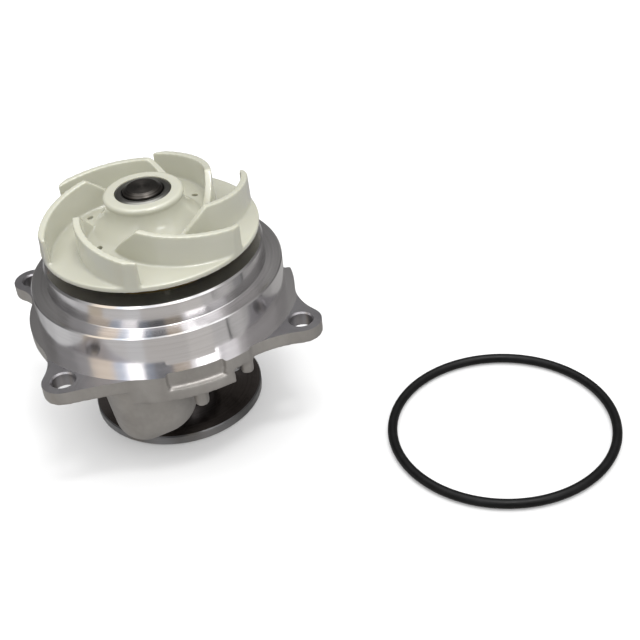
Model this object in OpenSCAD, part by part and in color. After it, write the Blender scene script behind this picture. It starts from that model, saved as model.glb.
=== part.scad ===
// Engine coolant pump of the cartridge kind: a die-cast housing with a turned register and spigot,
// a shaft bearing, a face seal, a moulded impeller and a chain-drive hub, with its loose sealing ring.
// Origin: centre of the drive hub's outer face, on the shaft axis. +Z points towards the impeller.

/* [Mounting flange] */
// Height of the flange's mounting face
face_z = 51.4; // [51:0.1:52]
// Thickness of the flange
flange_t = 6; // [5:0.5:6.5]
// Radius of the flange's wide side between its lugs
flange_r = 55.2; // [54.8:0.1:56]
// Radius of the bolt holes
bolt_r = 4.5; // [4:0.1:4.8]
// Radius of the rounded end of a lug
lug_r = 8.4; // [7.8:0.1:9]

/* [Register and spigot] */
// Radius of the wide register above the mounting face
register_r = 51.4; // [51:0.1:51.8]
// Height of the ledge on top of the register
ledge_z = 66.7; // [66:0.1:67.5]
// Radius of the spigot above the ledge
spigot_r = 44.6; // [44:0.1:45]
// Height of the flat land on top of the spigot
land_z = 76.4; // [76:0.1:77]

/* [Impeller] */
// Outer radius of the impeller
impeller_r = 44; // [42:0.5:44]
// Number of vanes
vanes = 6; // [5:1:7]
// Thickness of a vane
vane_t = 2.8; // [2:0.1:3]
// Height of the vane's top edge at its inner end
vane_top_in = 100.4; // [99:0.1:101]
// Height of the vane's top edge at the rim
vane_top_out = 95.3; // [93:0.1:97]

/* [Shaft and bearing] */
// Radius of the shaft
shaft_r = 7.95; // [7.9:0.01:8]
// Height of the shaft's upper end
shaft_top = 103.4; // [102.6:0.1:104]
// Outer radius of the bearing's outer ring
ring_r = 15; // [15:0.1:15.5]
// Height of the lower end of the bearing's outer ring
ring_z0 = 8; // [7.6:0.1:8.5]
// Height of the upper end of the bearing's outer ring
ring_z1 = 46.9; // [46.5:0.1:47]
// Number of balls in the upper row
balls = 8; // [6:1:8]
// Number of rollers in the lower row
rollers = 12; // [8:1:12]

/* [Face seal] */
// Outer radius of the seal's metal case
case_r = 18; // [17.8:0.1:18.4]
// Wire radius of the seal's spring
spring_wire_r = 0.7; // [0.5:0.05:0.75]
// Number of turns of the seal's spring
spring_turns = 4; // [3:1:5]

/* [Drive hub] */
// Outer radius of the drive hub
hub_r = 36; // [34:0.5:37]
// Thickness of the drive hub
hub_t = 4.7; // [4:0.1:5]
// Radius of the circle that the tapped holes lie on
hub_bolt_circle_r = 25; // [22:0.5:28]
// Core radius of the tapped holes
hub_tap_r = 3.4; // [2.5:0.1:4]

/* [Sealing ring] */
// Radius of the sealing ring's centre line
o_ring_r = 45.3; // [44:0.1:47]
// Radius of the sealing ring's cord
o_ring_cord_r = 2; // [1.5:0.1:2.5]

/* [Hidden] */

$fn = 96;
eps = 0.01;          // overlap that keeps a cut clean
press_gap = 0.02;    // gap in a press fit between pieces of one body
run_gap = 0.05;      // radial gap of a lip that a shaft runs in

narrow_r = register_r + 0.8;     // radius of the flange's narrow side
// Lugs: radius and angle of the hole, blend radius on each side of it, radius of the disc it joins
lugs = [[62.7, -124.8, 26, 300, flange_r], [62.8, -25.6, 40, 26, flange_r], [61, 158.6, 22, 14, flange_r],
    [62.8, 67, 20, 20, narrow_r]];
flange_z = face_z - flange_t;
wide_from = 140;                 // the flange is wide from this angle
wide_sweep = 233;                // over this sweep
front_r = 56.6;                  // radius of the flange's front, from front_from over front_sweep
front_from = -97;
front_sweep = 47;
bolt_chamfer = 0.5;

// Step cut into the flange's rim at the front, and the tier that carries its floor
step_r = 54;
step_z = 44.4;
step_from = -86;
step_sweep = 24;
tier_r0 = 47;
tier_z = 39.6;
tier_from = -100;
tier_sweep = 41.5;
// Stubs under the rim: x, y, radius, height of the lower end
stubs = [[33.9, -41.8, 2.6, 39.8], [14.8, -47, 3, 30.6]];

// Casting
nose_r = 18.5;
nose_z = 17;
pocket_r0 = 24;
pocket_r1 = 46;
pocket_top = 60;
pockets = 5;
pocket_pitch = 52;
pocket_sweep = 46;
pocket_start = -48;
web_t = 4;
bulge_top = [-7, -38.5];
bulge_top_r = 17.5;
bulge_side = [-4, -36, 28];
bulge_side_r = 16;
bulge_low = [-10, -38, 22];
bulge_low_r = 12;
reservoir_r = 7;
reservoir_z1 = 53;
weep_r = 2;
weep_z = 50.5;
weep_l = 24;                     // length of a weep drilling
vent_a = 79;
plug_z = 12.5;
plug_h = 3.6;
plug_wall = 1;

// Inside of the housing
cavity_r = 13.5;
case_z = 54.5;
bowl_z = 65.5;
bowl_r = 30;
land_in_r = 35;

// Rolling rows
race_r = 12.2;
pitch_r = (shaft_r + race_r) / 2;
ball_r = 3.175;
ball_z = 38.5;
ball_gap = 0.03;
roller_r = (race_r - shaft_r) / 2 - 0.02;
roller_z = 18.5;
roller_h = 9;

// Face seal heights
carbon_z = 68.1;
seat_z = 72.52;
cup_top = 77.5;

// Impeller
insert_r = 11.35;
counterbore_r = 8.5;
counterbore_z = 97.6;
insert_bevel_r = 10;             // radius at which the insert's top starts to slope down
insert_top = 101.7;
insert_z = cup_top + 0.1;
shoulder_z = 88;                 // height of the shoulder that keys the insert into the hub
rim_z = 82.6;
rim_t = 2;
hub_top = 101.4;
dome_r = 15.6;
dome_foot_r = 22;
dome_foot_z = 88;
vane_foot_r = 21.7;              // radius at which the vane starts
vane_grow = [0.229, 0.00025];    // growth of its radius per degree, linear and square terms
vane_sweep = 89.3;
vane_start = -61;
vane_lead_r = 28.8;              // radius of the top of the slanted leading edge
vent_hole_r = 1.3;
vent_hole_at = [25, 43.4];

// Drive hub
hub_bolt_from = 20;
hub_boss_r = 11.5;
hub_boss_z = 6.8;

o_ring_at = [134.4, -46.7, o_ring_cord_r];

// Points on an arc
function arc(c, r, a0, a1, n = 12) =
    [for (i = [0:n]) let (a = a0 + (a1 - a0) * i / n) [c[0] + r * cos(a), c[1] + r * sin(a)]];
function heading(p) = atan2(p[1], p[0]);
function wrap(a) = a - 360 * round(a / 360);
function polar(r, a) = [r * cos(a), r * sin(a)];

// Centre of the arc, radius rf, that blends a disc of radius R into a lug
function blend_angle(R, d, rf) =
    acos((pow(R + rf, 2) + d * d - pow(lug_r + rf, 2)) / (2 * (R + rf) * d));

// Outline of one lug with its two blends, as a polygon from the axis
module lug_outline(R, d, a, rf_cw, rf_ccw) {
    centre = polar(d, a);
    a_cw = a - blend_angle(R, d, rf_cw);
    a_ccw = a + blend_angle(R, d, rf_ccw);
    f_cw = polar(R + rf_cw, a_cw);
    f_ccw = polar(R + rf_ccw, a_ccw);
    in_cw = heading(centre - f_cw);
    in_ccw = heading(centre - f_ccw);
    out_cw = heading(f_cw - centre);
    out_ccw = out_cw + (heading(f_ccw - centre) - out_cw + 720) % 360;
    polygon(concat([[0, 0]],
        arc(f_cw, rf_cw, a_cw + 180, a_cw + 180 + wrap(in_cw - a_cw - 180), 8),
        arc(centre, lug_r, out_cw, out_ccw, 20),
        arc(f_ccw, rf_ccw, a_ccw + 180 + wrap(in_ccw - a_ccw - 180), a_ccw + 180, 8)));
}

module ring(r_in, r_out, z0, z1) {
    translate([0, 0, z0]) difference() {
        cylinder(r = r_out, h = z1 - z0);
        translate([0, 0, -1]) cylinder(r = r_in, h = z1 - z0 + 2);
    }
}

module around(n, r, z) {
    for (i = [0:n - 1]) rotate([0, 0, i * 360 / n]) translate([r, 0, z]) children();
}

module flange_plate() {
    translate([0, 0, flange_z]) linear_extrude(flange_t) {
        circle(r = narrow_r);
        polygon(concat([[0, 0]], arc([0, 0], flange_r, wide_from, wide_from + wide_sweep, 96)));
        polygon(concat([[0, 0]], arc([0, 0], front_r, front_from, front_from + front_sweep, 24)));
        for (l = lugs) lug_outline(l[4], l[0], l[1], l[2], l[3]);
    }
}

// Turned outside: register, ledge, spigot and land, with small chamfers
module turned_body() {
    rotate_extrude() polygon([[0, flange_z + 0.1], [register_r, flange_z + 0.1],
        [register_r, ledge_z - 0.4], [register_r - 0.4, ledge_z], [spigot_r, ledge_z],
        [spigot_r, land_z - 0.8], [spigot_r - 0.8, land_z], [0, land_z]]);
}

// Rounded weep reservoir that hangs from the flange at the front
module bulge() {
    hull() {
        translate([bulge_top[0], bulge_top[1], flange_z - 3])
            cylinder(r = bulge_top_r, h = flange_t + 2.9, $fn = 40);
        translate(bulge_side) sphere(r = bulge_side_r, $fn = 40);
        translate(bulge_low) sphere(r = bulge_low_r, $fn = 40);
    }
}

// Tier below the flange's rim at the front, and the stubs that hang beside it
module tier() {
    rotate([0, 0, tier_from]) rotate_extrude(angle = tier_sweep)
        translate([tier_r0, tier_z]) square([front_r - tier_r0 - eps, flange_z - tier_z + 0.6]);
    for (s = stubs) translate([s[0], s[1], s[3]]) cylinder(r = s[2], h = flange_z + 0.5 - s[3], $fn = 48);
}

module rim_step() {
    rotate([0, 0, step_from]) rotate_extrude(angle = step_sweep)
        translate([step_r, step_z]) square([6, face_z - step_z + 1]);
}

module web(a) {
    rotate([0, 0, a]) rotate([90, 0, 0]) linear_extrude(web_t, center = true)
        polygon([[nose_r - 2, 24], [nose_r - 2, 46], [48, 46], [48, flange_z - 1.5]]);
}

module pocket(a) {
    rotate([0, 0, a]) rotate_extrude(angle = pocket_sweep)
        polygon([[pocket_r0, flange_z - 4], [pocket_r1, flange_z - 4], [pocket_r1, pocket_top - 3],
            [pocket_r1 - 3, pocket_top], [pocket_r0 + 3, pocket_top], [pocket_r0, pocket_top - 3]]);
}

module bolt_hole(l) {
    translate(concat(polar(l[0], l[1]), [0])) {
        translate([0, 0, flange_z - 1]) cylinder(r = bolt_r, h = flange_t + 2);
        translate([0, 0, face_z - bolt_chamfer])
            cylinder(r1 = bolt_r, r2 = bolt_r + 2 * bolt_chamfer, h = 2 * bolt_chamfer);
    }
}

// Bearing bore, weep cavity, seal bore and impeller bowl in one turned cut
module inner_bores() {
    bore_r = ring_r + press_gap;
    seal_bore_r = case_r + press_gap;
    rotate_extrude() polygon([[0, nose_z - 1], [bore_r, nose_z - 1], [bore_r, ring_z1], [cavity_r, ring_z1],
        [cavity_r, case_z], [seal_bore_r, case_z], [seal_bore_r, bowl_z], [bowl_r, bowl_z],
        [bowl_r + 3, bowl_z + 2.5], [land_in_r, land_z + eps], [0, land_z + eps]]);
}

// Reservoir in the bulge, its passage from the weep cavity, and the vent to the open air
module weep_ways() {
    translate([bulge_low[0], bulge_low[1], plug_z - 4])
        cylinder(r = reservoir_r, h = reservoir_z1 - plug_z + 4);
    for (a = [heading(bulge_low), vent_a])
        translate([0, 0, weep_z]) rotate([0, 0, a]) rotate([0, 90, 0]) translate([0, 0, cavity_r - 2])
            cylinder(r = weep_r, h = weep_l);
}

module pump_housing() {
    color("silver") difference() {
        union() {
            turned_body();
            flange_plate();
            translate([0, 0, nose_z]) cylinder(r = nose_r, h = flange_z - nose_z + 1);
            bulge();
            tier();
            for (k = [1:pockets]) web(pocket_start - 3 + pocket_pitch * k);
        }
        inner_bores();
        for (k = [0:pockets - 1]) pocket(pocket_start + pocket_pitch * k);
        for (l = lugs) bolt_hole(l);
        rim_step();
        weep_ways();
    }
}

module weep_plug() {
    color("lightgray") translate([bulge_low[0], bulge_low[1], plug_z]) difference() {
        cylinder(r = reservoir_r - press_gap, h = plug_h);
        translate([0, 0, -plug_wall]) cylinder(r = reservoir_r - plug_wall, h = plug_h);
    }
}

module bearing_outer_ring() {
    color("darkgray") difference() {
        rotate_extrude() polygon([[race_r, ring_z0], [ring_r - 1, ring_z0], [ring_r, ring_z0 + 1],
            [ring_r, ring_z1 - 0.5], [ring_r - 0.5, ring_z1], [race_r, ring_z1]]);
        ball_groove();
    }
}

module ball_groove() {
    translate([0, 0, ball_z]) rotate_extrude() translate([pitch_r, 0]) circle(r = ball_r + ball_gap);
}

module upper_bearing_seal() {
    color("#202020") ring(shaft_r + run_gap, race_r - press_gap, ring_z1 - 2, ring_z1 - 0.4);
}

module lower_bearing_seal() {
    color("#202020") ring(shaft_r + run_gap, race_r - press_gap, ring_z0 + 0.4, ring_z0 + 2);
}

module upper_balls() {
    color("silver") around(balls, pitch_r, ball_z) sphere(r = ball_r);
}

module upper_ball_cage() {
    color("tan") difference() {
        ring(pitch_r - 0.8, pitch_r + 0.8, ball_z - 3.9, ball_z + 3.9);
        around(balls, pitch_r, ball_z) sphere(r = ball_r + 0.1);
    }
}

module lower_rollers() {
    color("silver") around(rollers, pitch_r, roller_z - roller_h / 2) cylinder(r = roller_r, h = roller_h);
}

module lower_roller_cage() {
    color("tan") difference() {
        ring(pitch_r - 1, pitch_r + 1, roller_z - 6.4, roller_z + 6.4);
        around(rollers, pitch_r, roller_z - roller_h / 2 - 0.2)
            cylinder(r = roller_r + 0.1, h = roller_h + 0.4);
    }
}

module pump_shaft() {
    color("dimgray") difference() {
        rotate_extrude() polygon([[0, 0.3], [shaft_r - 1, 0.3], [shaft_r, 1.3], [shaft_r, shaft_top - 1.2],
            [shaft_r - 1.9, shaft_top], [0, shaft_top]]);
        ball_groove();
    }
}

// Dished ring that throws leaked drops off the shaft before they reach the bearing
module slinger() {
    color("slategray") rotate_extrude() polygon([[shaft_r + eps, 48.2], [9.4, 48.2], [9.4, 49.6],
        [12, 50.4], [12, 51.4], [shaft_r + eps, 50.6]]);
}

module seal_case() {
    color("goldenrod") rotate_extrude() polygon([[9.6, case_z + 0.5], [case_r, case_z + 0.5],
        [case_r, bowl_z + 0.02], [20.3, bowl_z + 0.02], [20.3, bowl_z + 0.8], [case_r - 0.8, bowl_z + 0.8],
        [case_r - 0.8, case_z + 1.3], [9.6, case_z + 1.3]]);
}

module seal_bellows() {
    color("#181818") rotate_extrude() polygon([[10.6, 55.9], [17.1, 55.9], [17.1, 60], [15.6, 60],
        [15.6, 57], [11.6, 57], [11.6, 62], [12.3, 63], [11.6, 64], [11.6, 67], [13.9, 67], [13.9, 68],
        [10.6, 68],
        [10.6, 64.4], [11.2, 63], [10.6, 61.6]]);
}

// Coil spring between the bellows' foot and the retainer's lip, swept as one closed tube
module seal_spring() {
    coil_r = 13.1;
    z0 = 57 + spring_wire_r + 0.05;
    z1 = 67 - spring_wire_r - 0.05;
    sides = 8;
    steps = spring_turns * 24;
    points = [for (i = [0:steps], j = [0:sides - 1])
        let (a = 360 * spring_turns * i / steps, b = 360 * j / sides, r = coil_r + spring_wire_r * cos(b))
        [r * cos(a), r * sin(a), z0 + (z1 - z0) * i / steps + spring_wire_r * sin(b)]];
    walls = [for (i = [0:steps - 1], j = [0:sides - 1]) let (k = (j + 1) % sides)
        [i * sides + j, i * sides + k, (i + 1) * sides + k, (i + 1) * sides + j]];
    ends = [[for (j = [sides - 1:-1:0]) j], [for (j = [0:sides - 1]) steps * sides + j]];
    color("silver") polyhedron(points, concat(walls, ends));
}

module seal_retainer() {
    color("silver") ring(14.05, 14.6, 67, 70.6);
}

module seal_carbon_ring() {
    color("#303030") rotate_extrude() polygon([[10.4, carbon_z], [14, carbon_z], [14, 71.2], [12.8, 71.2],
        [12.8, seat_z - 0.02], [10.4, seat_z - 0.02]]);
}

module seat_ring() {
    color("ivory") ring(9.6, 14, seat_z, seat_z + 3.5);
}

module seat_cup() {
    color("#181818") rotate_extrude() polygon([[shaft_r + eps, seat_z + 0.2], [9.58, seat_z + 0.2],
        [9.58, seat_z + 3.52], [14.2, seat_z + 3.52], [14.2, cup_top], [shaft_r + eps, cup_top]]);
}

module impeller_insert() {
    color("gray") rotate_extrude() polygon([[shaft_r + eps, insert_z], [insert_r - 1, insert_z],
        [insert_r - 1, shoulder_z], [insert_r, shoulder_z + 1], [insert_r, insert_top - 0.6],
        [insert_bevel_r, insert_top],
        [counterbore_r + 0.2, insert_top], [counterbore_r, insert_top - 0.3],
        [counterbore_r, counterbore_z], [shaft_r + eps, counterbore_z]]);
}

// Hub, dome and back plate of the impeller
module impeller_hub() {
    flare = [for (i = [0:10]) let (t = i / 10)
        [dome_foot_r - (dome_foot_r - dome_r) * (1 - pow(1 - t, 2.4)),
         dome_foot_z + (hub_top - 2.4 - dome_foot_z) * t]];
    rotate_extrude() polygon(concat(
        [[insert_r - 2, insert_z + 0.4], [13.5, insert_z + 0.4], [14.5, 85], [impeller_r - 3, rim_z],
         [impeller_r, rim_z], [impeller_r, rim_z + rim_t]],
        flare,
        [[dome_r + 0.3, hub_top - 1.8], [dome_r + 0.3, hub_top - 0.8], [dome_r - 0.5, hub_top],
         [insert_r - 2, hub_top]]));
}

// Centre line of a vane in plan, at angle a past its foot
function vane_mid(a) = polar(vane_foot_r + vane_grow[0] * a + vane_grow[1] * a * a, vane_start + a);
function vane_side(a) = let (d = vane_mid(a + 0.5) - vane_mid(a - 0.5)) [-d[1], d[0]] / norm(d);

module vane() {
    n = 24;
    reach = vane_sweep + 4;
    inner = [for (i = [0:n]) let (a = reach * i / n) vane_mid(a) + vane_side(a) * vane_t / 2];
    outer = [for (i = [n:-1:0]) let (a = reach * i / n) vane_mid(a) - vane_side(a) * vane_t / 2];
    intersection() {
        translate([0, 0, rim_z]) linear_extrude(20) polygon(concat(inner, outer));
        rotate_extrude() polygon([[vane_foot_r + 0.3, 85.9], [vane_lead_r, vane_top_in],
            [impeller_r - 0.06, vane_top_out], [impeller_r - 0.06, 83.8]]);
    }
}

module impeller() {
    color("beige") difference() {
        union() {
            impeller_hub();
            for (i = [0:vanes - 1]) rotate([0, 0, i * 360 / vanes]) vane();
        }
        rotate_extrude() polygon([[0, insert_z - 1], [insert_r - 1 + eps, insert_z - 1],
            [insert_r - 1 + eps, shoulder_z], [insert_r + eps, shoulder_z + 1],
            [insert_r + eps, hub_top + 1], [0, hub_top + 1]]);
        rotate([0, 0, vent_hole_at[1]]) around(vanes, vent_hole_at[0], rim_z)
            cylinder(r = vent_hole_r, h = 10);
    }
}

module hub_flange() {
    color("gray") difference() {
        rotate_extrude() polygon([[shaft_r + eps, 0], [hub_r - 0.8, 0], [hub_r, 0.8], [hub_r, hub_t - 0.6],
            [hub_r - 0.6, hub_t], [hub_boss_r, hub_t], [hub_boss_r, hub_boss_z],
            [shaft_r + eps, hub_boss_z]]);
        rotate([0, 0, hub_bolt_from]) around(3, hub_bolt_circle_r, -1)
            cylinder(r = hub_tap_r, h = hub_t + 2);
    }
}

module body_o_ring() {
    color("#101010") translate(o_ring_at) rotate_extrude()
        translate([o_ring_r, 0]) circle(r = o_ring_cord_r);
}

pump_housing();
weep_plug();
bearing_outer_ring();
upper_bearing_seal();
lower_bearing_seal();
upper_balls();
upper_ball_cage();
lower_rollers();
lower_roller_cage();
pump_shaft();
slinger();
seal_case();
seal_bellows();
seal_spring();
seal_retainer();
seal_carbon_ring();
seat_ring();
seat_cup();
impeller_insert();
impeller();
hub_flange();
body_o_ring();
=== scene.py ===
"""Visual model of an engine coolant pump and its loose sealing ring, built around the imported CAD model.

The housing is made the way the real one is: a raw casting with soft edges, then turned, milled and
drilled. The impeller is a moulding. Lengths inside the builders are in millimetres, as in the CAD.
"""
import math

import bmesh
import bpy
import numpy as np
from mathutils import Matrix, Vector

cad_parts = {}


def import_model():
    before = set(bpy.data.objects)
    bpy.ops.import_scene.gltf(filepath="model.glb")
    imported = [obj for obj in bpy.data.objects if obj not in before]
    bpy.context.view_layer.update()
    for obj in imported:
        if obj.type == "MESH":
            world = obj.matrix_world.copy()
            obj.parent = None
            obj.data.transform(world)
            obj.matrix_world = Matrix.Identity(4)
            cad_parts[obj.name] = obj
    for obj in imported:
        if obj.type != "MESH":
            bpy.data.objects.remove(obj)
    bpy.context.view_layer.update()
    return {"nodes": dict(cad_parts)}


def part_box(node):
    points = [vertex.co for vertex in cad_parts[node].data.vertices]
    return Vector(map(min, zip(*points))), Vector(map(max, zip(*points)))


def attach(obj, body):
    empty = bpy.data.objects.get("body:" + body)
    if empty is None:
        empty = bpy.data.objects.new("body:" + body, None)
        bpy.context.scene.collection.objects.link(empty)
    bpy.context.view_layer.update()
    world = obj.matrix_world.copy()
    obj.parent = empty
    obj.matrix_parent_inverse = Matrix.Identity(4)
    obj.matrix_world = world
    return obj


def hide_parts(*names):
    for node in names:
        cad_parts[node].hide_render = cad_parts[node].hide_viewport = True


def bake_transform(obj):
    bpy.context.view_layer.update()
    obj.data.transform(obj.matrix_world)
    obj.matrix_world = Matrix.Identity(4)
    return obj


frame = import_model()
MM = 0.001
CASTING_GRAIN, MOULDING_GRAIN = ((0.6, 0.42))     # of the fused skins, millimetres

# ---------------------------------------------------------------------------------------------------
# Sizes shared by the pieces, in millimetres, the same as the CAD model's
# ---------------------------------------------------------------------------------------------------
FACE_Z, FLANGE_Z = 51.4, 45.4            # top and bottom of the mounting flange
REGISTER_R, LEDGE_Z = 51.4, 66.7         # wide turned register and the ledge on top of it
SPIGOT_R, LAND_Z = 44.6, 76.4            # spigot and the flat land on top of it
LAND_IN_R, BOWL_Z, BOWL_R = 35.0, 65.5, 30.0
BORE_FROM = 5.0                          # the boring tool ends here, below the casting
BEARING_BORE_R, CAVITY_R, SEAL_BORE_R = 15.02, 13.5, 18.02
RING_TOP, CASE_Z = 46.9, 54.5
FLANGE_R, NARROW_R, LUG_R, BOLT_R = 55.2, 52.2, 8.4, 4.5
WIDE_FROM, WIDE_SWEEP = 140, 233
FRONT_R, FRONT_FROM, FRONT_SWEEP = 56.6, -97, 47
TURNED_R, TURNED_DEPTH = 56.9, 0.12      # the turned ring of the flange's face, a hair below the lugs
STEP_R, STEP_Z, STEP_FROM, STEP_TO = 54.0, 44.4, -86, -62
# Lugs: radius and angle of the hole, blend radius on each side, radius of the disc it joins
LUGS = [(62.7, -124.8, 26, 300, FLANGE_R), (62.8, -25.6, 40, 26, FLANGE_R),
        (61.0, 158.6, 22, 14, FLANGE_R), (62.8, 67.0, 20, 20, NARROW_R)]
BULGE_TOP, BULGE_TOP_R = (-7.0, -38.5), 17.5
BULGE_ENDS = [(-4.0, -36.0, 28.0, 16.0), (-10.0, -38.0, 22.0, 12.0)]     # spheres: centre and radius

IMPELLER_R, RIM_Z, RIM_T = 44.0, 82.6, 2.0
IMPELLER_FOOT_R, IMPELLER_FOOT_Z = 13.5, 78.0
INSERT_R, INSERT_TOP, SHOULDER_Z, SHAFT_R, SHAFT_TOP = 11.35, 101.7, 88.0, 7.95, 103.4
DOME_R, DOME_TOP, DOME_FOOT_R, DOME_FOOT_Z = 15.6, 101.4, 22.0, 88.0
VANES, VANE_STEP, VANE_FOOT_R, VANE_SWEEP, VANE_START = 6, 60, 21.7, 89.3, -61.0
VANE_LEAD, VANE_LEAD_R, VANE_TOP_IN, VANE_TOP_OUT = 30.0, 28.8, 100.4, 95.3
VANE_FOOT_T, VANE_TOP_T, VANE_SINK = 3.4, 2.7, 1.6       # thickness, and depth of the foot in the plate
SPIRAL, SPIRAL_GROWTH = 0.229, 0.00025   # how fast a vane's radius grows, per degree and degree squared
VENT_R, VENT_CIRCLE_R, VENT_FROM = 1.3, 25.0, 43.4
COUNTERBORE_R, COUNTERBORE_Z, INSERT_BEVEL_R = 8.5, 97.6, 10.0
HUB_R, HUB_T, HUB_BOSS_R, HUB_BOSS_Z = 36.0, 4.7, 11.5, 6.8
TAP_R, TAP_WIDE_R, TAP_BEVEL, TAP_CIRCLE_R, TAP_FROM = 3.4, 4.4, 0.8, 25.0, 20
RACE_R, RACE_Z = 15.0, 8.0               # the bearing's outer ring: its radius and its lower end
BALL_Z, GROOVE_R, GROOVE_SIDE_R = 38.5, 6.87, 7.1        # the shaft's groove for the ball row
FIT = 0.01                               # clearance of the turned pieces on the shaft


# ---------------------------------------------------------------------------------------------------
# Mesh tools
# ---------------------------------------------------------------------------------------------------
def polar(r, a):
    """The point at radius r and a degrees."""
    return r * math.cos(math.radians(a)), r * math.sin(math.radians(a))


def new_object(name, mesh):
    obj = bpy.data.objects.new(name, mesh)
    bpy.context.scene.collection.objects.link(obj)
    return obj


def mesh_object(name, verts, faces):
    """An object from vertices in millimetres and faces."""
    mesh = bpy.data.meshes.new(name)
    mesh.from_pydata([tuple(c * MM for c in v) for v in verts], [], faces)
    mesh.update()
    return new_object(name, mesh)


def rounded(profile):
    """Replaces the corners of a closed profile of (r, z, fillet) points by arcs."""
    out = []
    count, steps = len(profile), 5
    for i, p in enumerate(profile):
        fillet = p[2] if len(p) > 2 else 0
        here = Vector(p[:2])
        if not fillet:
            out.append(tuple(here))
            continue
        to_prev = (Vector(profile[i - 1][:2]) - here).normalized()
        to_next = (Vector(profile[(i + 1) % count][:2]) - here).normalized()
        half = to_prev.angle(to_next) / 2
        centre = here + (to_prev + to_next).normalized() * (fillet / math.sin(half))
        start = here + to_prev * (fillet / math.tan(half)) - centre
        end = here + to_next * (fillet / math.tan(half)) - centre
        turn = start.angle_signed(end)
        for k in range(steps + 1):
            spin = Matrix.Rotation(-turn * k / steps, 2)
            out.append(tuple(centre + spin @ start))
    return out


def lathe(name, profile, seg, at=(0.0, 0.0)):
    """A closed solid of revolution from a closed profile of (r, z) points, with the body on the left."""
    verts, rows = [], []
    for r, z in profile:
        if r < 1e-6:
            rows.append([len(verts)] * seg)
            verts.append((at[0], at[1], z))
            continue
        rows.append(list(range(len(verts), len(verts) + seg)))
        for k in range(seg):
            x, y = polar(r, 360.0 * k / seg)
            verts.append((at[0] + x, at[1] + y, z))
    faces = []
    for a, b in zip(rows, rows[1:] + rows[:1]):
        for k in range(seg):
            j = (k + 1) % seg
            quad = []
            for v in (a[k], a[j], b[j], b[k]):
                if v not in quad:
                    quad.append(v)
            if len(quad) > 2:
                faces.append(quad)
    obj = mesh_object(name, verts, faces)
    fix_normals(obj)
    return obj


def fix_normals(obj):
    """Merges points that coincide and turns every face outwards."""
    bm = bmesh.new()
    bm.from_mesh(obj.data)
    bmesh.ops.remove_doubles(bm, verts=bm.verts, dist=1e-7)
    bmesh.ops.recalc_face_normals(bm, faces=bm.faces)
    bm.to_mesh(obj.data)
    bm.free()


def prism(name, outline, z0, z1):
    """A straight solid from a closed outline of (x, y) points."""
    n = len(outline)
    verts = [(x, y, z0) for x, y in outline] + [(x, y, z1) for x, y in outline]
    faces = [list(range(n - 1, -1, -1)), list(range(n, 2 * n))]
    faces += [[i, (i + 1) % n, n + (i + 1) % n, n + i] for i in range(n)]
    obj = mesh_object(name, verts, faces)
    fix_normals(obj)
    return obj


def convex(name, points):
    """The convex hull of points."""
    obj = mesh_object(name, points, [])
    bm = bmesh.new()
    bm.from_mesh(obj.data)
    bmesh.ops.convex_hull(bm, input=bm.verts)
    bmesh.ops.delete(bm, geom=[v for v in bm.verts if not v.link_faces], context="VERTS")
    bmesh.ops.recalc_face_normals(bm, faces=bm.faces)
    bm.to_mesh(obj.data)
    bm.free()
    return obj


def apply_modifiers(obj):
    """Bakes an object's modifiers into its mesh."""
    graph = bpy.context.evaluated_depsgraph_get()
    graph.update()
    done = bpy.data.meshes.new_from_object(obj.evaluated_get(graph))
    old = obj.data
    obj.modifiers.clear()
    obj.data = done
    bpy.data.meshes.remove(old)
    return obj


def remove(*objs):
    for o in objs:
        mesh = o.data
        bpy.data.objects.remove(o)
        bpy.data.meshes.remove(mesh)


def join(name, objs):
    """One mesh that holds all the objects' shells, which may overlap."""
    bm = bmesh.new()
    for o in objs:
        bm.from_mesh(o.data)
    mesh = bpy.data.meshes.new(name)
    bm.to_mesh(mesh)
    bm.free()
    remove(*objs)
    return new_object(name, mesh)


def fuse(obj, grain, passes):
    """Merges overlapping shells into one skin of even quads, then relaxes it so that every edge is soft."""
    mod = obj.modifiers.new("fuse", "REMESH")
    mod.mode = "VOXEL"
    mod.voxel_size = grain * MM
    apply_modifiers(obj)
    relax(obj, passes)
    return obj


def relax(obj, passes):
    """Moves each vertex towards its neighbours' mean, passes times, and part of the way back each time."""
    pull, give_back = 0.5, 0.62
    mesh = obj.data
    co = np.empty(len(mesh.vertices) * 3, np.float32)
    mesh.vertices.foreach_get("co", co)
    co = co.reshape(-1, 3).astype(np.float64)
    edges = np.empty(len(mesh.edges) * 2, np.int32)
    mesh.edges.foreach_get("vertices", edges)
    a, b = edges.reshape(-1, 2).T
    count = (np.bincount(a, minlength=len(co)) + np.bincount(b, minlength=len(co)))[:, None]
    for step in range(passes * 2):
        total = np.empty_like(co)
        for k in range(3):
            total[:, k] = (np.bincount(a, co[b, k], len(co)) + np.bincount(b, co[a, k], len(co)))
        share = pull if step % 2 == 0 else -give_back * pull
        co += share * (total / count - co)
    mesh.vertices.foreach_set("co", co.astype(np.float32).ravel())
    mesh.update()


def cut(obj, tool):
    """Cuts a closed tool out of an object, then removes the tool."""
    mod = obj.modifiers.new("cut", "BOOLEAN")
    mod.operation = "DIFFERENCE"
    mod.solver = "MANIFOLD"
    mod.object = tool
    apply_modifiers(obj)
    remove(tool)
    return obj


def shade(obj, sharp=32):
    """Smooth shading with edges steeper than sharp degrees kept crisp."""
    mesh = obj.data
    mesh.polygons.foreach_set("use_smooth", [True] * len(mesh.polygons))
    mesh.set_sharp_from_angle(angle=math.radians(sharp))
    mesh.update()
    return obj


def centre_texture(obj, centre, half=50.0):
    """Puts the generated coordinates' centre on an axis, so that turning marks run round it."""
    mesh = obj.data
    mesh.use_auto_texspace = False
    mesh.texspace_location = Vector(centre) * MM
    mesh.texspace_size = (half * MM,) * 3


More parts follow.
